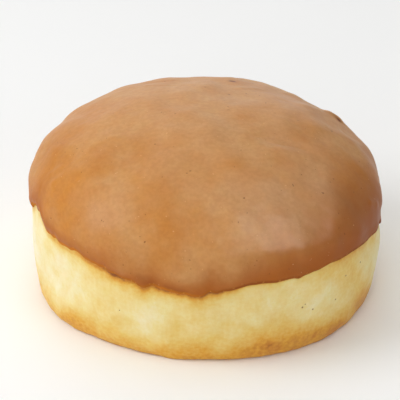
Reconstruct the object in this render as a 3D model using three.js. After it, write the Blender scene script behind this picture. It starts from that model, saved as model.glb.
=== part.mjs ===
// A filled doughnut: one round of fried dough, closed all over, under a cap of set icing.
// Millimetres, +Z up. The origin is the middle of the flat underside that the doughnut rests on.
// +X is the side where the dome has settled a little lower.
import * as THREE from "three";
import { ParametricGeometry } from "three/addons/geometries/ParametricGeometry.js";

// Dough
const DOUGH_RADIUS = 44.2; // at the widest level
const DOUGH_HEIGHT = 48.1;
const WIDEST_LEVEL = 26.5; // height of the widest level above the base
const BASE_RADIUS = 41;
const SIDE_FULLNESS = 3; // 2 gives an elliptic side below the widest level, more gives a steeper one
const DOME_LEAN = 2.1; // how much lower the +X side of the dome is than its middle

// Icing
const ICING_THICKNESS = 0.8;
const ICING_GAP = 0.3; // between the icing's underside and the dough
const LIP_ROUNDING = 1.2; // how far up from its edge the icing takes to reach its full thickness
const ICING_EDGE_HEIGHT = 22.9;

// How the dough's outline departs from a circle: waves round the rim, each a share of the radius.
const WAVES = [
  { count: 3, share: 0.012, azimuth: 68 },
  { count: 2, share: 0.002, azimuth: 110 },
];

// Soft rises and hollows of the dough, centred at an azimuth in degrees and a height in millimetres.
const SWELLINGS = [
  { azimuth: 39, height: 38, reach: 5.5, rise: -1 },
  { azimuth: 30, height: 35, reach: 3.5, rise: 0.6 },
  { azimuth: 16, height: 32, reach: 4, rise: 0.6 },
  { azimuth: 57, height: 40, reach: 5, rise: 0.8 },
  { azimuth: 128, height: 43, reach: 7, rise: 0.1 },
  { azimuth: -171, height: 27, reach: 4, rise: -0.6 },
  { azimuth: 175, height: 32, reach: 4, rise: 0.3 },
  { azimuth: -174, height: 12, reach: 8, rise: 0.7 },
  { azimuth: -7, height: 15, reach: 5, rise: 0.5 },
  { azimuth: -11, height: 3, reach: 5, rise: -0.6 },
  { azimuth: 1, height: 27, reach: 5, rise: -0.9 },
  { azimuth: 90, height: 45, reach: 10, rise: -0.5 },
  { azimuth: -103, height: 1, reach: 8, rise: -0.5 },
  { azimuth: -127, height: 1, reach: 5, rise: 0.3 },
  { azimuth: -154, height: 1, reach: 6, rise: 0.8 },
];

// Where the icing ran further down, or stopped short: the drop of its edge, and its spread in degrees.
const RUNS = [
  { azimuth: -95, drop: 3.3, spread: 8 },
  { azimuth: -113, drop: 1.6, spread: 6 },
  { azimuth: -57, drop: 0.5, spread: 3 },
  { azimuth: -21, drop: 1.4, spread: 7 },
  { azimuth: -6, drop: 2.6, spread: 4 },
  { azimuth: -162, drop: -3.8, spread: 4 },
  { azimuth: 25, drop: 1.2, spread: 9 },
  { azimuth: 88, drop: 1.9, spread: 8 },
  { azimuth: 128, drop: -1.1, spread: 9 },
];

// Mesh fineness
const AZIMUTH_STEPS = 72;
const BASE_STEPS = 3;
const SIDE_STEPS = 11;
const DOME_STEPS = 13;
const LIP_STEPS = 3;
const ICING_STEPS = 14;
const TANGENT_STEP = 1e-3;

const DOME_HEIGHT = DOUGH_HEIGHT - WIDEST_LEVEL;
const DOME_ARC = (Math.PI / 2) * Math.hypot(DOUGH_RADIUS, DOME_HEIGHT) * Math.SQRT1_2;

// The dough's section as a path: level -2 is the middle of the base, -1 its rim, 0 the widest level
// and 1 the top of the dome. Gives the radius and the height at a level.
function sectionAt(level) {
  if (level < -1) {
    return { radius: BASE_RADIUS * (level + 2), height: 0 };
  }
  if (level < 0) {
    const share = (level + 1) ** 2;
    const bulge = (1 - (1 - share) ** SIDE_FULLNESS) ** (1 / SIDE_FULLNESS);
    return {
      radius: BASE_RADIUS + (DOUGH_RADIUS - BASE_RADIUS) * bulge,
      height: WIDEST_LEVEL * share,
    };
  }
  const turn = (level * Math.PI) / 2;
  return {
    radius: DOUGH_RADIUS * Math.cos(turn),
    height: WIDEST_LEVEL + DOME_HEIGHT * Math.sin(turn),
  };
}

// The level at which the section passes a height.
function levelAt(height) {
  if (height < WIDEST_LEVEL) {
    return Math.sqrt(height / WIDEST_LEVEL) - 1;
  }
  return Math.asin((height - WIDEST_LEVEL) / DOME_HEIGHT) / (Math.PI / 2);
}

// A point of the dough before its rises and hollows, waved round the rim and leaning to one side.
function roundPoint(azimuth, level) {
  const { radius, height } = sectionAt(level);
  let wave = 1;
  for (const { count, share, azimuth: crest } of WAVES) {
    wave += share * Math.cos(count * (azimuth - THREE.MathUtils.degToRad(crest)));
  }
  const x = radius * wave * Math.cos(azimuth);
  const y = radius * wave * Math.sin(azimuth);
  const lean = (DOME_LEAN * x) / (DOUGH_RADIUS * DOUGH_HEIGHT);
  return new THREE.Vector3(x, y, height * (1 - lean));
}

const swellings = SWELLINGS.map(({ azimuth, height, reach, rise }) => ({
  centre: roundPoint(THREE.MathUtils.degToRad(azimuth), levelAt(height)),
  reach,
  rise,
}));

// A point of the dough's skin. A rise pushes the side outwards and the dome out and up.
function skinPoint(azimuth, level) {
  const point = roundPoint(azimuth, level);
  let rise = 0;
  for (const swelling of swellings) {
    const distance = point.distanceTo(swelling.centre) / swelling.reach;
    rise += swelling.rise * Math.exp((-distance * distance) / 2);
  }
  const outwards = new THREE.Vector3(point.x, point.y, Math.max(0, point.z - WIDEST_LEVEL));
  return level < -1 ? point : point.addScaledVector(outwards.normalize(), rise);
}

// The direction straight out of the skin.
function outwardAt(azimuth, level) {
  if (level >= 1) {
    return new THREE.Vector3(0, 0, 1);
  }
  const around = skinPoint(azimuth + TANGENT_STEP, level).sub(skinPoint(azimuth - TANGENT_STEP, level));
  const upwards = skinPoint(azimuth, level + TANGENT_STEP).sub(skinPoint(azimuth, level - TANGENT_STEP));
  return around.cross(upwards).normalize();
}

// The level of the icing's edge at an azimuth.
function edgeLevel(azimuth) {
  let height = ICING_EDGE_HEIGHT;
  for (const { azimuth: middle, drop, spread } of RUNS) {
    const away = THREE.MathUtils.euclideanModulo(THREE.MathUtils.radToDeg(azimuth) - middle + 180, 360) - 180;
    height -= drop * Math.exp(-((away / spread) ** 2) / 2);
  }
  return levelAt(height);
}

// A point of the icing. Climb runs from 0 at its edge to 1 at the top, plus a distance up from the edge
// in millimetres, and lift from 0 on its underside to 1 on its outer face.
function icingPoint(azimuth, { climb, above, lift }) {
  const level = THREE.MathUtils.lerp(edgeLevel(azimuth) + above / DOME_ARC, 1, climb);
  const offset = ICING_GAP + ICING_THICKNESS * lift;
  return skinPoint(azimuth, level).addScaledVector(outwardAt(azimuth, level), offset);
}

// Evenly spaced numbers from one value towards another, without the last.
function steps(from, to, count) {
  return Array.from({ length: count }, (_, i) => from + ((to - from) * i) / count);
}

function doughPath() {
  return [
    ...steps(-2, -1, BASE_STEPS),
    ...steps(-1, 0, SIDE_STEPS),
    ...steps(0, 1, DOME_STEPS),
    1,
  ];
}

// Down the underside from the top, round the lip, and back up the outer face.
function icingPath() {
  return [
    ...steps(1, 0, ICING_STEPS).map((climb) => ({ climb, above: 0, lift: 0 })),
    ...steps(0, Math.PI / 2, LIP_STEPS).map((turn) => ({
      climb: 0,
      above: LIP_ROUNDING * (1 - Math.cos(turn)),
      lift: Math.sin(turn),
    })),
    ...steps(0, 1, ICING_STEPS).map((climb) => ({ climb, above: LIP_ROUNDING, lift: 1 })),
    { climb: 1, above: LIP_ROUNDING, lift: 1 },
  ];
}

// A closed surface: a path from pole to pole, carried round the upright axis.
function surface(path, pointAt) {
  const last = path.length - 1;
  const place = (u, v, target) => target.copy(pointAt(u * 2 * Math.PI, path[Math.round(v * last)]));
  return new ParametricGeometry(place, AZIMUTH_STEPS, last);
}

function piece(name, geometry, colour, roughness) {
  const material = new THREE.MeshStandardMaterial({ color: colour, roughness, metalness: 0 });
  const mesh = new THREE.Mesh(geometry, material);
  mesh.name = name;
  return mesh;
}

const group = new THREE.Group();
group.add(
  piece("dough", surface(doughPath(), skinPoint), 0xe9d5a2, 0.85),
  piece("icing", surface(icingPath(), icingPoint), 0xbd8a58, 0.4),
);

// The middle of the whole outline goes over the origin, and the base on the level of the origin.
const box = new THREE.Box3().setFromObject(group, true);
const middle = box.getCenter(new THREE.Vector3());
for (const mesh of group.children) {
  mesh.position.set(-middle.x, -middle.y, -box.min.z);
}

export default group;
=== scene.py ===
import math

import bpy
import numpy as np
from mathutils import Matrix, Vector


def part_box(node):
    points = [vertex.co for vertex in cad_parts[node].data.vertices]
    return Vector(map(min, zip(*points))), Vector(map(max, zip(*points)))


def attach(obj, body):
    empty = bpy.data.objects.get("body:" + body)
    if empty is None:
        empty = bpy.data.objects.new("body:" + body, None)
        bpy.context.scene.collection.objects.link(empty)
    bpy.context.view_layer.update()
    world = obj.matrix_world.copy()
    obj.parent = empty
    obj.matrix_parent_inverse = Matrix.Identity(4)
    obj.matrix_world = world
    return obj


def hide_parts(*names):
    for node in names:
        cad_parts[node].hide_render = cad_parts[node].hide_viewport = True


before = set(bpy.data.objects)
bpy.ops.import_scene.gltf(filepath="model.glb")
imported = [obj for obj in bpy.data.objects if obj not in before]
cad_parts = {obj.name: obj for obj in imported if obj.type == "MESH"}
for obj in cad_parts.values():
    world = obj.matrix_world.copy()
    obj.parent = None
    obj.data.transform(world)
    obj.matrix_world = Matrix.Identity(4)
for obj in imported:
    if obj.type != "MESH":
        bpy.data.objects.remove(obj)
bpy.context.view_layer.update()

# A filled doughnut: a round of fried dough under a cap of set icing.
# Lengths are in millimetres until a mesh, a light or the camera is made. Tables give azimuths in
# degrees, and functions take them in radians, apart from place_at.
# -Y is the front, and +X is the side where the dome has settled a little lower.

METRES = 0.001

# The dough's outer form, the same as the construction model's
DOUGH_RADIUS = 44.2
DOUGH_HEIGHT = 48.1
WIDEST_HEIGHT = 26.5
BASE_RADIUS = 41.0
SIDE_FULLNESS = 3.0
DOME_LEAN = 2.1
DOME_HEIGHT = DOUGH_HEIGHT - WIDEST_HEIGHT

# Waves round the rim: how many, their share of the radius, the azimuth of a crest
WAVES = [(3, 0.012, 68), (2, 0.002, 110)]

# Soft rises and hollows: azimuth, height, reach, rise
SWELLINGS = [
    (39, 38, 5.5, -1.0),
    (30, 35, 3.5, 0.6),
    (16, 32, 4, 0.6),
    (57, 40, 5, 0.8),
    (128, 43, 7, 0.1),
    (-171, 27, 4, -0.6),
    (175, 32, 4, 0.3),
    (-174, 12, 8, 0.7),
    (-7, 15, 5, 0.5),
    (-11, 3, 5, -0.6),
    (1, 27, 5, -0.9),
    (90, 45, 10, -0.5),
    (-103, 1, 8, -0.5),
    (-127, 1, 5, 0.3),
    (-154, 1, 6, 0.8),
]

# A level is a place on the dough's section: -2 is the middle of the base, -1 its rim, 0 the widest
# place and 1 the top. Near the widest place, one level is this long.
LEVEL_LENGTH = 2 * WIDEST_HEIGHT

TANGENT_STEP = 1e-3
POLE_CLEARANCE = 1e-4


# ---------------------------------------------------------------- helpers

def smooth(low, high, value):
    """0 below low, 1 above high, and a smooth rise between them."""
    share = np.clip((value - low) / (high - low), 0, 1)
    return share * share * (3 - 2 * share)


def near(points, centre, reach):
    """1 at the centre, falling smoothly to 0 beyond its reach."""
    return np.exp(-((points - centre) ** 2).sum(-1) / (2 * reach**2))


def along_line(points, start, end, reach):
    """1 on the line between two points, falling smoothly to 0 away from it."""
    run = end - start
    share = np.clip(((points - start) @ run) / (run @ run), 0, 1)
    return near(points, start + share[..., None] * run, reach)


def bands(azimuth, rows):
    """The sum of soft bands round the side, from rows of azimuth, amount and spread in degrees."""
    total = 0
    for middle, amount, spread in rows:
        away = (np.degrees(azimuth) - middle + 180) % 360 - 180
        total = total + amount * np.exp(-((away / spread) ** 2) / 2)
    return total


WAVE_COUNT = 28
WAVE_LENGTHS = (0.7, 1.4)


def undulation(points, size, seed):
    """Smooth even noise about 0, with a spread of about 1 and features about half of size across."""
    rng = np.random.default_rng(seed)
    directions = rng.normal(size=(WAVE_COUNT, 3))
    directions /= np.linalg.norm(directions, axis=1, keepdims=True)
    lengths = size * rng.uniform(*WAVE_LENGTHS, (WAVE_COUNT, 1))
    turns = points @ (directions / lengths).T * 2 * np.pi + rng.uniform(0, 2 * np.pi, WAVE_COUNT)
    return np.cos(turns).sum(-1) * math.sqrt(2 / WAVE_COUNT)


def undulations(points, rows):
    """The sum of undulations, from rows of amount, size and seed."""
    return sum(amount * undulation(points, size, seed) for amount, size, seed in rows)


# ---------------------------------------------------------------- form

def section(level):
    """Radius and height on the dough's section at a level."""
    share = (np.clip(level, -1, 0) + 1) ** 2
    bulge = (1 - (1 - share) ** SIDE_FULLNESS) ** (1 / SIDE_FULLNESS)
    turn = np.maximum(level, 0) * np.pi / 2
    side = BASE_RADIUS + (DOUGH_RADIUS - BASE_RADIUS) * bulge
    radius = np.where(level < 0, side, DOUGH_RADIUS * np.cos(turn))
    radius = np.where(level < -1, BASE_RADIUS * (level + 2), radius)
    height = WIDEST_HEIGHT * share + DOME_HEIGHT * np.sin(turn)
    return radius, height


def level_at(height):
    """The level at which the section passes a height."""
    below = np.sqrt(np.clip(height / WIDEST_HEIGHT, 0, 1)) - 1
    above = np.arcsin(np.clip((height - WIDEST_HEIGHT) / DOME_HEIGHT, 0, 1)) * 2 / np.pi
    return below + above


def round_points(azimuth, level):
    """Points of the dough before its rises and hollows."""
    radius, height = section(level)
    wave = 1 + sum(share * np.cos(count * (azimuth - math.radians(crest))) for count, share, crest in WAVES)
    x = radius * wave * np.cos(azimuth)
    y = radius * wave * np.sin(azimuth)
    z = height * (1 - DOME_LEAN * x / (DOUGH_RADIUS * DOUGH_HEIGHT))
    return np.stack([x, y, z], -1)


def place_at(azimuth, height):
    """The point of the round dough at an azimuth in degrees and a height."""
    return round_points(np.radians(azimuth), level_at(np.float64(height)))


def patches(points, rows):
    """The sum of soft round patches, from rows of azimuth, height, reach and amount."""
    return sum(amount * near(points, place_at(at, height), reach) for at, height, reach, amount in rows)


def lines(points, rows):
    """The sum of soft lines, from rows of start, end, reach and amount. Each end of a line is an azimuth
    and a height."""
    return sum(
        amount * along_line(points, place_at(*start), place_at(*end), reach)
        for start, end, reach, amount in rows
    )


def skin(azimuth, level):
    """Points of the dough's skin with its rises and hollows. A rise pushes the side outwards and the
    dome out and up."""
    points = round_points(azimuth, level)
    rise = np.where(level < -1, 0, patches(points, SWELLINGS))
    outwards = points.copy()
    outwards[..., 2] = np.maximum(0, points[..., 2] - WIDEST_HEIGHT)
    length = np.linalg.norm(outwards, axis=-1, keepdims=True)
    return points + outwards / np.maximum(length, POLE_CLEARANCE) * rise[..., None]


def outward(azimuth, level):
    """Unit vectors straight out of the skin."""
    level = np.minimum(level, 1 - POLE_CLEARANCE)
    step = TANGENT_STEP
    around = skin(azimuth + step, level) - skin(azimuth - step, level)
    upward = skin(azimuth, level + step) - skin(azimuth, level - step)
    normal = np.cross(around, upward)
    return normal / np.linalg.norm(normal, axis=-1, keepdims=True)


# ---------------------------------------------------------------- dough

# The levels at the rim of the base between which the side's relief sets in, and between which the
# underside's relief and tone end
RELIEF_SETS_IN = (-1.02, -0.9)
BASE_RELIEF_ENDS = (-1.06, -1.0)
BASE_TONE_ENDS = (-1.05, -0.98)
# Below this level the side's relief stands out in the direction that it has here
LOWEST_OUTWARD = -0.97

# Relief of the crust: size, seed, rise, and its further rise at the browned foot
CRUST = [
    (26, 11, 0.22, 0),
    (10, 12, 0.09, 0),
    (4, 13, 0.009, 0.03),
    (1.9, 14, 0.0064, 0.016),
]
# The heights between which the foot fades out
FOOT_FADES = (2, 12)

# The mark of the filling nozzle, a small hole in a low mound: azimuth, height, reach, rise
PUCKER = [(100, 13, 1.5, -1.6), (100, 13, 4.5, 0.35)]
PUCKER_BROWNING = [(100, 13, 1.3, 0.35)]

# The underside lifts off the flat in a hollow, which fades out between two radii, and in ripples
BASE_HOLLOW = 0.35
HOLLOW_FADES = (8, 36)
BASE_RIPPLES = [(0.12, 14, 15), (0.05, 5, 16)]

# Pinprick pores in the side: azimuth, height, radius
PORES = [
    (-59, 13.5, 0.34),
    (-58, 14.2, 0.2),
    (-55, 12, 0.3),
    (-45, 11.9, 0.3),
    (-41, 17.8, 0.3),
    (-32, 18.4, 0.34),
    (-120, 12, 0.2),
    (15, 14, 0.3),
    (48, 9, 0.25),
    (133, 16, 0.3),
    (160, 10, 0.25),
]


def dough_relief(points, level):
    """How far the crust stands out of the plain form."""
    foot = 1 - smooth(*FOOT_FADES, points[..., 2])
    relief = sum((rise + more * foot) * undulation(points, size, seed) for size, seed, rise, more in CRUST)
    return (relief + patches(points, PUCKER)) * smooth(*RELIEF_SETS_IN, level)


def base_relief(points):
    """How far the underside lifts off the flat."""
    hollow = BASE_HOLLOW * (1 - smooth(*HOLLOW_FADES, np.linalg.norm(points[..., :2], axis=-1)))
    return np.maximum(0, hollow + undulations(points, BASE_RIPPLES))


def dough_surface(azimuth, level):
    """Points of the finished dough."""
    points = skin(azimuth, level)
    relief = dough_relief(points, level)[..., None]
    points = points + outward(azimuth, np.maximum(level, LOWEST_OUTWARD)) * relief
    points[..., 2] += (1 - smooth(*BASE_RELIEF_ENDS, level)) * base_relief(points)
    points[..., 2] = np.maximum(points[..., 2], 0)
    return points


# Browning runs from 0 where the crust is pale to 1 at its brownest. A table of bands holds rows of
# azimuth, amount and spread in degrees.
CRUST_TONE = 0.14
CRUST_MOTTLE = [(0.028, 17, 34), (0.02, 6, 35)]
# These bands are partly real browning and partly painted light and shade: the crust is paler on the left,
# where the key light falls, and browner towards the front right
CRUST_TONE_AND_SHADE_BANDS = [
    (-172, -0.09, 16),
    (-150, -0.02, 12),
    (-68, 0.04, 10),
    (-43, 0.08, 14),
    (90, 0.05, 60),
]
# Patches: azimuth, height, reach, amount
GOLDEN_PATCHES = [
    (-33, 12, 3.5, 0.04),
    (-24, 8, 4, 0.12),
    (-57, 9, 3, -0.04),
    (-39, 18, 3, 0.14),
    (40, 12, 5, 0.1),
]

# The foot is browned up to a height that has bands and wanders, with a blur above and below
FOOT_BROWNING = 0.5
FOOT_BROWNING_BANDS = [(-50, -0.06, 12)]
FOOT_HEIGHT = 6.0
FOOT_BLUR = 5.0
FOOT_HEIGHT_BANDS = [
    (-69, 2.2, 8),
    (-84, -0.6, 6),
    (-105, -0.4, 9),
    (-35, -0.6, 8),
    (-12, -2.5, 10),
    (120, 1.5, 25),
]
FOOT_WANDER = [(0.8, 15, 31), (0.45, 5.5, 32)]

# Fine upright streaks in the foot
STREAK_STRENGTH = 0.03
STREAK_STRETCH = (1, 1, 0.4)
STREAK_SIZE = 1.7
STREAK_SEED = 36
STREAK_BANDS = [(-62, 1.0, 12), (70, 0.8, 20)]

# Below the icing's edge the crust is tinted, and a thin line of painted shadow darkens it just under the
# icing's lip
EDGE_TINT = 0.26
EDGE_TINT_REACH = 2.2
EDGE_TINT_MOTTLE = [(0.08, 9, 33)]
EDGE_TINT_BANDS = [
    (-118, 0.3, 13),
    (-89, 0.3, 8),
    (-58, -0.16, 8),
    (-34, 0.5, 12),
    (150, 0.15, 30),
    (-160, -0.16, 12),
]
EDGE_SHADOW = 0.15
EDGE_SHADOW_REACH = 0.5
EDGE_SHADOW_BANDS = [(-60, 0.4, 16), (-25, 0.25, 12)]

# The underside is a little browner. Bands and streaks set in between two radii, clear of its middle.
BASE_BROWNING = 0.1
BANDS_SET_IN = (26, 40)


def browning(azimuth, points, level):
    """How brown the crust is."""
    height = points[..., 2]
    outer = smooth(*BANDS_SET_IN, np.hypot(points[..., 0], points[..., 1]))
    # Browning bands, partly painted light on the left and painted shade towards the front right
    tone = CRUST_TONE + undulations(points, CRUST_MOTTLE) + outer * bands(azimuth, CRUST_TONE_AND_SHADE_BANDS)
    tone = tone + patches(points, GOLDEN_PATCHES)

    middle = FOOT_HEIGHT + bands(azimuth, FOOT_HEIGHT_BANDS) - undulations(points, FOOT_WANDER)
    foot = 1 - smooth(-FOOT_BLUR, FOOT_BLUR, height - middle)
    streaks = undulation(points * STREAK_STRETCH, STREAK_SIZE, STREAK_SEED) * bands(azimuth, STREAK_BANDS)
    foot_bands = STREAK_STRENGTH * streaks + bands(azimuth, FOOT_BROWNING_BANDS)
    tone = tone + foot * (FOOT_BROWNING + outer * foot_bands)

    below_edge = np.maximum(edge_height(azimuth) - height, 0)
    tint = EDGE_TINT + bands(azimuth, EDGE_TINT_BANDS) + undulations(points, EDGE_TINT_MOTTLE)
    edge_shadow = EDGE_SHADOW + bands(azimuth, EDGE_SHADOW_BANDS)
    tone = tone + np.clip(tint, 0, 1) * np.exp(-below_edge / EDGE_TINT_REACH)
    # A thin line of painted shadow just under the icing's edge
    tone = tone + edge_shadow * np.exp(-((below_edge / EDGE_SHADOW_REACH) ** 2))

    underside = 1 - smooth(*BASE_TONE_ENDS, level)
    return np.clip(tone + patches(points, PUCKER_BROWNING) + BASE_BROWNING * underside, 0, 1)


# ---------------------------------------------------------------- icing

# The construction model's icing has a wider gap under it. Here it lies on the dough.
ICING_THICKNESS = 0.75
THINNEST = 0.35
ICING_GAP = 0.03
LIP_ROUNDING = 0.9
ICING_EDGE_HEIGHT = 22.9

# Where the icing ran further down or stopped short: azimuth, drop of its edge, spread in degrees
RUNS = [
    (-95, 3.3, 8),
    (-113, 1.6, 6),
    (-57, 0.5, 3),
    (-21, 1.4, 7),
    (-6, 2.6, 4),
    (-162, -3.8, 4),
    (25, 1.2, 9),
    (88, 1.9, 8),
    (128, -1.1, 9),
]

# Smaller lobes of the edge, which the construction model leaves out: azimuth, drop, spread
LOBES = [
    (-158, -1.3, 2),
    (-149.5, -0.7, 2.5),
    (-139, -0.8, 3),
    (-127, 0.9, 6),
    (-111.5, 0.4, 1.2),
    (-108, -0.5, 1.2),
    (-99.5, 0.4, 1.3),
    (-90, -0.7, 1.2),
    (-61, 0.4, 0.9),
    (-57, -0.4, 2),
    (-50, -0.9, 4),
    (-37, -1.0, 8),
    (-20, -1.1, 7),
    (-3, 1.5, 4),
]

# The edge wobbles in many small waves, the shorter the lower
WOBBLE_COUNTS = range(7, 110)
WOBBLE_SEED = 5
EDGE_WOBBLE = 1.5
# How ragged it is all round, and the stretches that are more so: azimuth, amount, spread
RAGGEDNESS = 0.3
RAGGED_BANDS = [(-150, 1.3, 14), (-112, 0.5, 9), (-95, 0.3, 8), (60, 0.7, 20), (150, 0.8, 16)]

# Where the icing thins out at its edge: azimuth, share of its thickness that goes, spread
THIN_EDGE_BANDS = [(-145, 0.6, 24), (-100, 0.45, 9), (-55, 0.2, 12), (140, 0.4, 30)]
THIN_EDGE_REACH = 3

# Uneven thickness: amount, size, seed. A low bead runs along above the edge.
ICING_UNEVENNESS = [(0.2, 24, 21), (0.075, 10, 22), (0.02, 4, 23)]
BEAD_RISE = 0.12
BEAD_ABOVE_EDGE = 1.4
BEAD_WIDTH = 1.3

# Ridges and creases: start and end as azimuth and height, reach, rise
CREASES = [
    # The long soft crease over the top, and the raised line on its near side
    ((-46, 46.7), (-34, 45.6), 1.0, -0.26),
    ((-34, 45.6), (-26, 43.9), 0.9, -0.3),
    ((-26, 43.9), (-24, 40.1), 1.2, -0.16),
    ((-52, 46), (-39, 44.8), 1.3, 0.19),
    ((-39, 44.8), (-31, 43), 1.3, 0.22),
    # The small fold at the back right, with a hollow beside it
    ((29, 43), (32, 38.8), 1.5, 0.3),
    ((32, 38.8), (29, 37.2), 1.1, 0.5),
    ((24, 37.6), (13, 38.8), 1.3, -0.4),
    # Thinner at the back, and thicker at the left
    ((75, 45), (62, 43.5), 4.0, -0.35),
    ((178, 30), (-170, 26), 2.0, 0.45),
    # Fine lines along the back
    ((128, 43.9), (104, 46.1), 0.7, 0.18),
    ((124, 42.7), (98, 44.8), 0.6, -0.14),
    ((68, 46.1), (52, 41.5), 0.7, 0.18),
    ((84, 43), (64, 41), 0.6, -0.12),
    # The right side
    ((-10, 40), (-13, 36.5), 1.4, 0.18),
    ((-22, 31.6), (-18, 29.8), 0.6, 0.35),
    ((2, 28), (-5, 24.5), 0.8, 0.3),
    # Folds on the left
    ((-162, 35), (-160, 37.4), 0.5, 0.14),
    ((-159.5, 34.6), (-157, 37), 0.5, -0.12),
    ((-157, 34.4), (-154.5, 36.4), 0.5, 0.12),
    # A fingertip mark
    ((-53, 36.8), (-51.3, 35.6), 0.4, 0.14),
    # The shoulder above the front edge
    ((-90, 29.4), (-73, 30.3), 1.7, 0.26),
    ((-73, 30.3), (-60, 30), 1.7, 0.3),
    ((-60, 30), (-46, 30.4), 1.6, 0.22),
]


def edge_height(azimuth):
    """The height of the icing's edge."""
    height = ICING_EDGE_HEIGHT - bands(azimuth, RUNS + LOBES)
    ragged = EDGE_WOBBLE * (RAGGEDNESS + bands(azimuth, RAGGED_BANDS))
    rng = np.random.default_rng(WOBBLE_SEED)
    for count in WOBBLE_COUNTS:
        height += ragged / count * rng.normal() * np.cos(count * azimuth + rng.uniform(0, 2 * np.pi))
    return height


def icing_thickness(points, above_edge):
    """The icing's thickness at points of the dough under it."""
    bead = BEAD_RISE * np.exp(-(((above_edge - BEAD_ABOVE_EDGE) / BEAD_WIDTH) ** 2))
    uneven = undulations(points, ICING_UNEVENNESS) + lines(points, CREASES)
    return np.maximum(ICING_THICKNESS + bead + uneven, THINNEST)


def icing_surface(azimuth, climb, above, lift):
    """Points of the icing, and their distance from its edge. Climb runs from 0 at the edge to 1 at the
    top, above is a distance up from the edge, and lift runs from 0 on the underside to 1 on the outer
    face."""
    start = level_at(edge_height(azimuth)) + above / LEVEL_LENGTH
    level = start + (1 - start) * climb
    distance = above + climb * (1 - start) * LEVEL_LENGTH
    points = dough_surface(azimuth, level)
    thinned = bands(azimuth, THIN_EDGE_BANDS) * (1 - smooth(0, THIN_EDGE_REACH, distance))
    offset = ICING_GAP + lift * icing_thickness(points, distance) * (1 - thinned)
    return points + outward(azimuth, level) * offset[..., None], distance


# Patches of painted sheen, which make the icing paler where it should catch the light: azimuth, height,
# reach, strength
SHEEN_PATCHES = [
    (-129, 24.6, 2.4, 0.5),
    (-120, 23.5, 2.2, 0.5),
    (-128, 35, 4.5, 1.0),
    (-70, 41, 6.5, 1.0),
    (-58, 37, 5, 0.8),
    (-43, 39.7, 3.5, 1.0),
    (-20, 43.5, 5, 0.7),
    (-110, 45, 9, 0.45),
    (0, 48, 17, 0.7),
    (85, 44, 13, 0.6),
    (40, 43, 9, 0.5),
    (150, 42, 9, 0.3),
]
SHEEN_UNEVENNESS = [(0.2, 12, 41)]
SHEEN_MOTTLE = [(0.08, 7, 42)]

# Patches that are warmer in colour, and patches of painted shade: azimuth, height, reach, strength
WARM = [
    (-141, 27, 4, 0.9),
    (-147, 36.2, 4, 0.85),
    (-121, 40.5, 3.2, 0.6),
    (-160, 30.5, 4.5, 1.0),
    (-172, 37, 5.5, 0.75),
    (-108, 35, 4, 0.5),
    (-88, 45, 5, 0.5),
]
WARM_UNEVENNESS = [(0.3, 6, 44)]
SHADE_PATCHES = [(-35, 35.5, 4, 0.5), (-174, 36.5, 5.5, 0.35)]

# Painted shade darkens the right side, away from the key light, up to a distance above the edge
SHADED_SIDE_BANDS = [(-22, 1.0, 21)]
SHADED_SIDE_REACH = 18

# Dark lines: painted shade in the fold at the back right, and darker marks where the icing ran thin: start
# and end, reach, strength
FOLD_SHADE_AND_MARKS = [
    ((31.5, 38.5), (27, 37.7), 0.45, 4.0),
    ((76, 44.5), (75, 44.5), 0.4, 4.0),
    ((-112, 22.8), (-108, 22.2), 0.9, 0.4),
    ((-103, 21.8), (-98, 21.2), 0.6, 0.8),
]

# How far up from its edge painted shade darkens the icing, where its face turns down and away from the
# light, with bands where that is more or less
LOW_SHADE_REACH = 4.0
LEAST_LOW_SHADE_REACH = 1
LOW_SHADE_MOTTLE = [(0.7, 9, 43)]
LOW_SHADE_BANDS = [
    (-66, 3.0, 14),
    (-20, 15.0, 26),
    (-165, 3.5, 12),
    (60, 1.0, 40),
    (-140, -0.5, 14),
    (-114, 1.5, 8),
]

# A thinned edge is paler, by this much for each share of its thickness that goes
THINNED_PALENESS = 1.6


def icing_tones(azimuth, points, distance, lift):
    """What the icing's material reads at each vertex, from 0 to 1 apart from the rim's distance."""
    # Painted sheen: pale patches where the icing should catch the light
    pale_sheen = patches(points, SHEEN_PATCHES) * (1 + undulations(points, SHEEN_UNEVENNESS))
    warm = patches(points, WARM) * (1 + undulations(points, WARM_UNEVENNESS))
    # Painted shade on the right side, and in patches
    shaded_side = bands(azimuth, SHADED_SIDE_BANDS) * np.exp(-((distance / SHADED_SIDE_REACH) ** 2))
    # Painted shade that darkens the icing up from its edge
    low_shade_reach = LOW_SHADE_REACH + bands(azimuth, LOW_SHADE_BANDS) + undulations(points, LOW_SHADE_MOTTLE)
    shares = {
        "painted_sheen": pale_sheen + undulations(points, SHEEN_MOTTLE),
        "warm": warm,
        "side_shade": shaded_side + patches(points, SHADE_PATCHES),
        "low_shade": np.exp(-((distance / np.maximum(low_shade_reach, LEAST_LOW_SHADE_REACH)) ** 2)),
        "thinned": THINNED_PALENESS * bands(azimuth, THIN_EDGE_BANDS),
        # Painted shade in a fold, and dark marks where the icing ran thin
        "fold_shade_and_marks": lines(points, FOLD_SHADE_AND_MARKS),
    }
    tones = {name: np.clip(share, 0, 1) for name, share in shares.items()}
    tones["rim"] = distance * np.where(lift > 0, 1, 0)
    return tones


# ---------------------------------------------------------------- meshes

CAP_CELLS = 128
AROUND = 4 * CAP_CELLS
RING_SPACING = 0.42

# The dough's fine rings run from just inside its base to a level that the icing hides. Above
# CAP_LEVEL each piece closes in a cap.
DOUGH_SEEN_FROM = -1.03
DOUGH_SEEN_TO = 0.12
CAP_LEVEL = 0.5
HIDDEN_SPACING = 3.0
HIDDEN_ICING_RINGS = 14

LIP_RINGS = 9
RIM_WIDTH = 4.0
RIM_RINGS = 16

ARC_SAMPLES = 4000
OUTLINE_SAMPLES = 720


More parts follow.
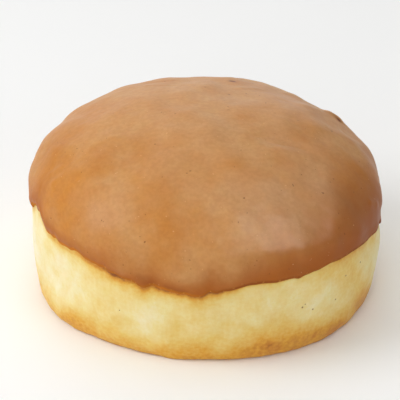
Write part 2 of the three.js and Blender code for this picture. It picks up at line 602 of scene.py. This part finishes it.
def disc_grid():
    """A square grid laid on a disc: each vertex's azimuth and share of the radius, the faces, and the
    boundary's vertices in the order of the rings'."""
    line = np.linspace(-1, 1, CAP_CELLS + 1)
    x, y = (side.ravel() for side in np.meshgrid(line, line))
    share = np.maximum(abs(x), abs(y))
    flat = abs(x) >= abs(y)
    safe_x = np.where(x == 0, 1, x)
    safe_y = np.where(y == 0, 1, y)
    quarter = np.pi / 4
    sideways = quarter * y / safe_x + np.where(x < 0, np.pi, 0)
    lengthways = np.pi / 2 - quarter * x / safe_y + np.where(y < 0, np.pi, 0)
    azimuth = np.where(flat, sideways, lengthways) % (2 * np.pi)
    corners = np.arange(CAP_CELLS)[:, None] * (CAP_CELLS + 1) + np.arange(CAP_CELLS)
    corners = corners.ravel()
    faces = np.stack([corners, corners + 1, corners + CAP_CELLS + 2, corners + CAP_CELLS + 1], 1)
    rim = np.flatnonzero(share == 1)
    return azimuth, share, faces, rim[np.argsort(azimuth[rim])]


def loft(path):
    """Carries a path round the upright axis, from pole to pole. Each row of the path holds the values
    that place a ring. Gives each vertex's azimuth and values, and the faces."""
    cap_azimuth, share, cap_faces, boundary = disc_grid()
    path = np.array(path, float)
    ring_azimuth = np.arange(AROUND) * 2 * np.pi / AROUND
    share = share[:, None]
    start = path[0] + (path[1] - path[0]) * share
    end = path[-1] + (path[-2] - path[-1]) * share
    rings = np.repeat(path[2:-2], AROUND, axis=0)
    values = np.concatenate([start, rings, end])
    azimuth = np.concatenate([cap_azimuth, np.tile(ring_azimuth, len(path) - 4), cap_azimuth])
    first_end = len(start) + len(rings)
    inner = len(start) + np.arange(len(rings)).reshape(-1, AROUND)
    ids = np.concatenate([boundary[None], inner, first_end + boundary[None]])
    low, high = ids[:-1], ids[1:]
    low_next, high_next = np.roll(low, -1, 1), np.roll(high, -1, 1)
    side = np.stack([low, low_next, high_next, high], -1).reshape(-1, 4)
    faces = np.concatenate([cap_faces[:, ::-1], side, cap_faces + first_end])
    return azimuth, values.T, faces


def even_levels(low, high, spacing):
    """Levels from low to high, evenly spaced along the section."""
    fine = np.linspace(low, high, ARC_SAMPLES)
    radius, height = section(fine)
    arc = np.concatenate([[0], np.cumsum(np.hypot(np.diff(radius), np.diff(height)))])
    count = max(2, round(arc[-1] / spacing))
    return np.interp(np.linspace(0, arc[-1], count + 1), arc, fine)


def dough_path():
    """From the middle of the base to the top: the level of each ring."""
    seen = even_levels(DOUGH_SEEN_FROM, DOUGH_SEEN_TO, RING_SPACING)
    hidden = even_levels(DOUGH_SEEN_TO, CAP_LEVEL, HIDDEN_SPACING)[1:]
    return [[level] for level in [-2.0, *seen, *hidden, 1.0]]


def icing_path():
    """Down the underside, round the lip and up the outer face: climb, distance above the edge, lift."""
    hidden = [[climb, 0, 0] for climb in np.linspace(CAP_LEVEL, 0, HIDDEN_ICING_RINGS)]
    turns = np.linspace(0, np.pi / 2, LIP_RINGS + 1)[1:]
    lip = [[0, LIP_ROUNDING * (1 - math.cos(turn)), math.sin(turn)] for turn in turns]
    rim = [[0, above, 1] for above in np.linspace(LIP_ROUNDING, RIM_WIDTH, RIM_RINGS + 1)[1:]]
    count = round(CAP_LEVEL * LEVEL_LENGTH / RING_SPACING)
    outer = [[climb, RIM_WIDTH, 1] for climb in np.linspace(0, CAP_LEVEL, count + 1)[1:]]
    return [[1, 0, 0], *hidden, *lip, *rim, *outer, [1, RIM_WIDTH, 1]]


def make_piece(name, node, material, points, faces, attributes):
    """A smooth mesh object that stands for a CAD node."""
    mesh = bpy.data.meshes.new(name)
    mesh.from_pydata((points * METRES).tolist(), [], faces.tolist())
    for key, values in attributes.items():
        layer = mesh.attributes.new(key, "FLOAT", "POINT")
        layer.data.foreach_set("value", np.asarray(values, np.float32))
    mesh.polygons.foreach_set("use_smooth", [True] * len(mesh.polygons))
    mesh.materials.append(material)
    mesh.update()
    piece = bpy.data.objects.new(name, mesh)
    bpy.context.scene.collection.objects.link(piece)
    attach(piece, "root")
    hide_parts(node)


def make_dough(shift):
    azimuth, (level,), faces = loft(dough_path())
    points = dough_surface(azimuth, level)
    attributes = {"browning": browning(azimuth, points, level)}
    make_piece("dough_round", "dough", dough_material(shift), points + shift, faces, attributes)


def make_icing(shift):
    azimuth, (climb, above, lift), faces = loft(icing_path())
    points, distance = icing_surface(azimuth, climb, above, lift)
    attributes = icing_tones(azimuth, points, distance, lift)
    make_piece("icing_cap", "icing", icing_material(), points + shift, faces, attributes)


# ---------------------------------------------------------------- materials

# Noise is mostly within this range, and a narrower one gives more contrast
NOISE_RANGE = (0.3, 0.7)
NARROW_RANGE = (0.35, 0.65)


def colour(red, green, blue):
    """A linear colour from an sRGB one on the 0 to 255 scale."""
    shares = [part / 255 for part in (red, green, blue)]
    linear = [part / 12.92 if part <= 0.04045 else ((part + 0.055) / 1.055) ** 2.4 for part in shares]
    return (*linear, 1)


class Nodes:
    """A material's node tree, with a short way to add a node, set it and link it."""

    def __init__(self, name):
        self.material = bpy.data.materials.new(name)
        self.material.use_nodes = True
        self.tree = self.material.node_tree
        self.shader = self.tree.nodes["Principled BSDF"]

    def add(self, kind, inputs=None, **settings):
        node = self.tree.nodes.new(kind)
        for key, value in settings.items():
            setattr(node, key, value)
        for key, value in (inputs or {}).items():
            self.join(value, node.inputs[key])
        return node

    def join(self, value, socket):
        if isinstance(value, bpy.types.NodeSocket):
            self.tree.links.new(value, socket)
        else:
            socket.default_value = value

    def attribute(self, name):
        return self.add("ShaderNodeAttribute", attribute_name=name).outputs["Fac"]

    def position(self):
        return self.add("ShaderNodeTexCoord").outputs["Object"]

    def noise(self, size, detail, stretch=(1, 1, 1)):
        """Noise from 0 to 1 with features about size millimetres across."""
        scale = [1 / (size * METRES * part) for part in stretch]
        mapped = self.add("ShaderNodeMapping", {"Vector": self.position(), "Scale": scale})
        inputs = {"Vector": mapped.outputs[0], "Scale": 1.0, "Detail": detail, "Roughness": 0.55}
        return self.add("ShaderNodeTexNoise", inputs).outputs["Fac"]

    def math(self, operation, first, second, clamp=False):
        inputs = {0: first, 1: second}
        return self.add("ShaderNodeMath", inputs, operation=operation, use_clamp=clamp).outputs[0]

    def plus(self, first, second):
        return self.math("ADD", first, second)

    def times(self, first, second):
        return self.math("MULTIPLY", first, second)

    def spread(self, value, low, high, to_low=0.0, to_high=1.0):
        """A value carried smoothly from one range to another, kept inside it."""
        inputs = {"Value": value, "From Min": low, "From Max": high, "To Min": to_low, "To Max": to_high}
        return self.add("ShaderNodeMapRange", inputs, interpolation_type="SMOOTHSTEP").outputs["Result"]

    def mix(self, share, first, second):
        """The first colour where the share is 0, and the second where it is 1. A mix node holds sockets
        for numbers and vectors too, and these are the colour ones."""
        inputs = {0: share, 6: first, 7: second}
        return self.add("ShaderNodeMix", inputs, data_type="RGBA").outputs[2]

    def ramp(self, value, stops):
        node = self.add("ShaderNodeValToRGB", {"Fac": value})
        elements = node.color_ramp.elements
        while len(elements) < len(stops):
            elements.new(0.5)
        for element, (place, shade) in zip(elements, stops):
            element.position = place
            element.color = shade
        return node.outputs["Color"]

    def bump(self, height, distance, strength):
        """The normal of a surface on which a height of 1 stands for distance millimetres."""
        inputs = {"Height": height, "Distance": distance * METRES, "Strength": strength}
        return self.add("ShaderNodeBump", inputs).outputs["Normal"]

    def finish(self, base, normal, roughness, values):
        self.join(base, self.shader.inputs["Base Color"])
        self.join(normal, self.shader.inputs["Normal"])
        self.join(roughness, self.shader.inputs["Roughness"])
        for key, value in values.items():
            self.shader.inputs[key].default_value = value
        return self.material


# The crust's colour by how brown it is
CRUST_COLOURS = [
    (0.0, colour(242, 232, 196)),
    (0.16, colour(236, 217, 152)),
    (0.36, colour(230, 196, 108)),
    (0.6, colour(221, 164, 58)),
    (0.8, colour(200, 130, 44)),
    (1.0, colour(142, 82, 30)),
]
# Painted shade inside the pinprick pores
PORE_SHADE = colour(140, 86, 34)

# The shares of a pore's radius at which it is deepest and at which it ends
PORE_BOTTOM = 0.2
PORE_RIM = 1.1

# How far blotches, grain and fibres carry the crust towards brown or pale. The grain is coarser in
# the browned parts, between these two amounts of browning.
BLOTCHES = 0.04
FIBRES = 0.018
GRAIN_BROWNING = (0.1, 0.6)
GRAIN_AMOUNTS = (0.02, 0.06)


def pore_depth(n, shift):
    """1 in the middle of a pore and 0 outside them all."""
    depth = 0.0
    for azimuth, height, radius in PORES:
        place = (dough_surface(np.radians(azimuth), level_at(np.float64(height))) + shift) * METRES
        away = n.add("ShaderNodeVectorMath", {0: n.position(), 1: place.tolist()}, operation="DISTANCE")
        reach = radius * METRES
        hole = n.spread(away.outputs["Value"], PORE_BOTTOM * reach, PORE_RIM * reach, 1.0, 0.0)
        depth = n.math("MAXIMUM", hole, depth)
    return depth


def dough_material(shift):
    n = Nodes("fried_dough")
    brown = n.attribute("browning")
    blotches = n.noise(3.4, detail=4, stretch=(1.2, 1.2, 1.0))
    grain = n.spread(n.noise(0.8, detail=3, stretch=(1.3, 1.3, 1)), *NOISE_RANGE, -1.0, 1.0)
    fibres = n.noise(1.1, detail=3, stretch=(0.8, 0.8, 2.6))
    uneven = n.times(grain, n.spread(brown, *GRAIN_BROWNING, *GRAIN_AMOUNTS))
    uneven = n.plus(n.spread(blotches, *NOISE_RANGE, -BLOTCHES, BLOTCHES), uneven)
    uneven = n.plus(uneven, n.spread(fibres, *NOISE_RANGE, -FIBRES, FIBRES))
    base = n.ramp(n.math("ADD", brown, uneven, clamp=True), CRUST_COLOURS)
    pores = pore_depth(n, shift)
    # Painted shade in the pores
    base = n.mix(pores, base, PORE_SHADE)

    fine = n.plus(n.noise(1.1, detail=4), n.times(n.noise(0.35, detail=2), 0.4))
    normal = n.bump(n.math("SUBTRACT", fine, pores), distance=0.12, strength=0.5)
    roughness = n.spread(blotches, *NOISE_RANGE, 0.52, 0.66)
    values = {
        "Subsurface Weight": 0.42,
        "Subsurface Radius": (1.0, 0.62, 0.28),
        "Subsurface Scale": 0.002,
        "Specular IOR Level": 0.35,
        "IOR": 1.42,
        "Sheen Weight": 0.08,
        "Sheen Roughness": 0.5,
    }
    return n.finish(base, normal, roughness, values)


def icing_material():
    n = Nodes("set_icing")
    clouds = n.noise(14, detail=3)
    mottle = n.spread(n.noise(3.6, detail=4), *NARROW_RANGE)
    grain = n.spread(n.noise(1.1, detail=3), *NOISE_RANGE)
    lip = n.math("SUBTRACT", 1.0, n.spread(n.attribute("rim"), 0.5, 1.5))
    # Where it keeps its thickness the lip is painted dark, a painted shade on the face that turns down
    # under the edge; where it thins out it is golden
    lip_colour = n.mix(n.attribute("thinned"), colour(112, 50, 8), colour(204, 124, 36))
    crumbs = n.times(n.spread(n.noise(0.8, detail=1), 0.62, 0.68), lip)
    # Small pale specks are painted glints on tiny raised bubbles
    glint_specks = n.spread(n.noise(0.9, detail=1), 0.76, 0.79)
    # Small dark dots are painted shade in pinholes
    pinhole_shade = n.spread(n.noise(0.75, detail=0), 0.17, 0.14)

    # Where each tint lies, how strong it is there, and its colour
    tints = [
        (mottle, 0.2, colour(182, 100, 34)),
        (n.attribute("warm"), 0.6, colour(203, 131, 44)),
        # Painted sheen: a pale greyish colour where the icing should catch the light
        (n.attribute("painted_sheen"), 0.5, colour(205, 157, 112)),
        # Painted shade above the edge, where the icing turns down, reaching far up the right side
        (n.attribute("low_shade"), 0.88, colour(164, 84, 10)),
        # Painted shade on the right side and in two patches
        (n.attribute("side_shade"), 0.42, colour(122, 50, 4)),
        (grain, 0.17, colour(152, 90, 38)),
        # Painted shade on the lip, golden where the lip thins out
        (lip, 0.75, lip_colour),
        # Painted shade in the fold at the back right, and dark marks where the icing ran thin
        (n.attribute("fold_shade_and_marks"), 1.0, colour(112, 48, 16)),
        (crumbs, 0.5, colour(214, 150, 70)),
        # Painted glints on tiny bubbles
        (glint_specks, 0.5, colour(226, 178, 120)),
        # Painted shade in pinholes
        (pinhole_shade, 0.6, colour(112, 60, 28)),
    ]
    base = n.mix(n.spread(clouds, *NARROW_RANGE), colour(197, 135, 70), colour(205, 153, 96))
    for place, strength, shade in tints:
        base = n.mix(n.times(place, strength), base, shade)

    raised = n.times(n.plus(glint_specks, crumbs), 0.6)
    waves = n.plus(n.noise(5.0, detail=2), n.times(n.noise(0.5, detail=3), 0.35))
    normal = n.bump(n.plus(waves, raised), distance=0.12, strength=0.55)
    roughness = n.plus(n.spread(clouds, *NOISE_RANGE, 0.38, 0.44), n.times(lip, 0.45))
    values = {
        "Subsurface Weight": 0.2,
        "Subsurface Radius": (1.0, 0.45, 0.2),
        "Subsurface Scale": 0.0012,
        "Specular IOR Level": 0.3,
        "IOR": 1.3,
    }
    return n.finish(base, normal, roughness, values)


def floor_material():
    n = Nodes("pale_floor")
    grain = n.noise(60, detail=2)
    base = n.mix(grain, colour(250, 250, 249), colour(252, 252, 251))
    normal = n.bump(grain, distance=0.02, strength=0.2)
    return n.finish(base, normal, 0.7, {"Specular IOR Level": 0.2})


# ---------------------------------------------------------------- stage

# The camera looks along +Y and down, at a point on the axis, then moves left and up in its own plane
ELEVATION = 28
VIEW_DISTANCE = 700
VIEW_CENTRE_HEIGHT = 20
VIEW_LEFT = 1.33
VIEW_UP = 2.27
VIEW_LENS = 246.2
SENSOR_WIDTH = 36

FLOOR_REACH = 2000

# The studio's surroundings are brightest towards one side
BRIGHT_SIDE = (-0.8, 0.5, 0.33)
WORLD_BRIGHT = 0.7
WORLD_DIM = 0.1

# Round softboxes: name, azimuth, elevation, distance and size in metres, watts
LIGHTS = [
    ("key", -168, 40, 0.7, 0.45, 1.8),
    ("front", -100, 30, 0.8, 0.5, 1.0),
    ("fill", -48, 27, 0.7, 0.3, 0.35),
    ("backdrop", 95, 18, 0.9, 0.9, 1.2),
    ("overhead", 90, 80, 0.8, 0.8, 1.15),
]

# Softboxes that show in reflections only and light nothing else
SHEEN_LIGHTS = [
    ("front_sheen", -42, 42, 0.7, 0.55, 9.5),
    ("side_sheen", 30, 50, 0.7, 0.2, 0.54),
]


def make_floor():
    reach = FLOOR_REACH * METRES
    corners = [(-reach, -reach, 0), (reach, -reach, 0), (reach, reach, 0), (-reach, reach, 0)]
    mesh = bpy.data.meshes.new("floor")
    mesh.from_pydata(corners, [], [(0, 1, 2, 3)])
    mesh.materials.append(floor_material())
    floor = bpy.data.objects.new("floor", mesh)
    bpy.context.scene.collection.objects.link(floor)


def make_light(name, azimuth, elevation, distance, size, watts):
    """A round softbox that faces the doughnut."""
    data = bpy.data.lights.new(name, "AREA")
    data.shape = "DISK"
    data.size = size
    data.energy = watts
    light = bpy.data.objects.new(name, data)
    turn, tilt = math.radians(azimuth), math.radians(elevation)
    away = np.array([math.cos(turn) * math.cos(tilt), math.sin(turn) * math.cos(tilt), math.sin(tilt)])
    light.location = away * distance
    light.rotation_mode = "QUATERNION"
    light.rotation_quaternion = light.location.to_track_quat("Z", "Y")
    bpy.context.scene.collection.objects.link(light)
    return light


def make_world():
    world = bpy.data.worlds.new("studio")
    world.use_nodes = True
    tree = world.node_tree
    place = tree.nodes.new("ShaderNodeTexCoord")
    towards = tree.nodes.new("ShaderNodeVectorMath")
    towards.operation = "DOT_PRODUCT"
    towards.inputs[1].default_value = BRIGHT_SIDE
    strength = tree.nodes.new("ShaderNodeMapRange")
    strength.inputs["From Min"].default_value = -1
    strength.inputs["To Min"].default_value = WORLD_DIM
    strength.inputs["To Max"].default_value = WORLD_BRIGHT
    background = tree.nodes["Background"]
    background.inputs["Color"].default_value = (1, 1, 1, 1)
    tree.links.new(place.outputs["Generated"], towards.inputs[0])
    tree.links.new(towards.outputs["Value"], strength.inputs["Value"])
    tree.links.new(strength.outputs["Result"], background.inputs["Strength"])
    bpy.context.scene.world = world


def make_camera():
    tilt = math.radians(ELEVATION)
    forward = np.array([0, math.cos(tilt), -math.sin(tilt)])
    up = np.array([0, math.sin(tilt), math.cos(tilt)])
    right = np.array([1, 0, 0])
    centre = np.array([0, 0, VIEW_CENTRE_HEIGHT])
    place = centre - forward * VIEW_DISTANCE - right * VIEW_LEFT + up * VIEW_UP
    data = bpy.data.cameras.new("camera")
    data.sensor_width = SENSOR_WIDTH
    data.lens = VIEW_LENS
    camera = bpy.data.objects.new("camera", data)
    camera.location = place * METRES
    camera.rotation_euler = (math.pi / 2 - tilt, 0, 0)
    bpy.context.scene.collection.objects.link(camera)
    bpy.context.scene.camera = camera


def shift_to_cad():
    """From this script's own form, round the upright axis, to the construction model's place, which is
    centred on its outline."""
    azimuth = np.linspace(-np.pi, np.pi, OUTLINE_SAMPLES, endpoint=False)
    widest = skin(azimuth, np.zeros(OUTLINE_SAMPLES))
    own_middle = (widest.min(0) + widest.max(0)) / 2
    low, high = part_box("dough")
    middle = np.array([low.x + high.x, low.y + high.y]) / 2 / METRES
    return np.array([*(middle - own_middle[:2]), 0])


make_camera()
make_world()
make_floor()
for row in LIGHTS:
    make_light(*row)
for row in SHEEN_LIGHTS:
    make_light(*row).visible_diffuse = False

shift = shift_to_cad()
make_dough(shift)
make_icing(shift)

scene = bpy.context.scene
scene.view_settings.view_transform = "Standard"
scene.view_settings.look = "None"
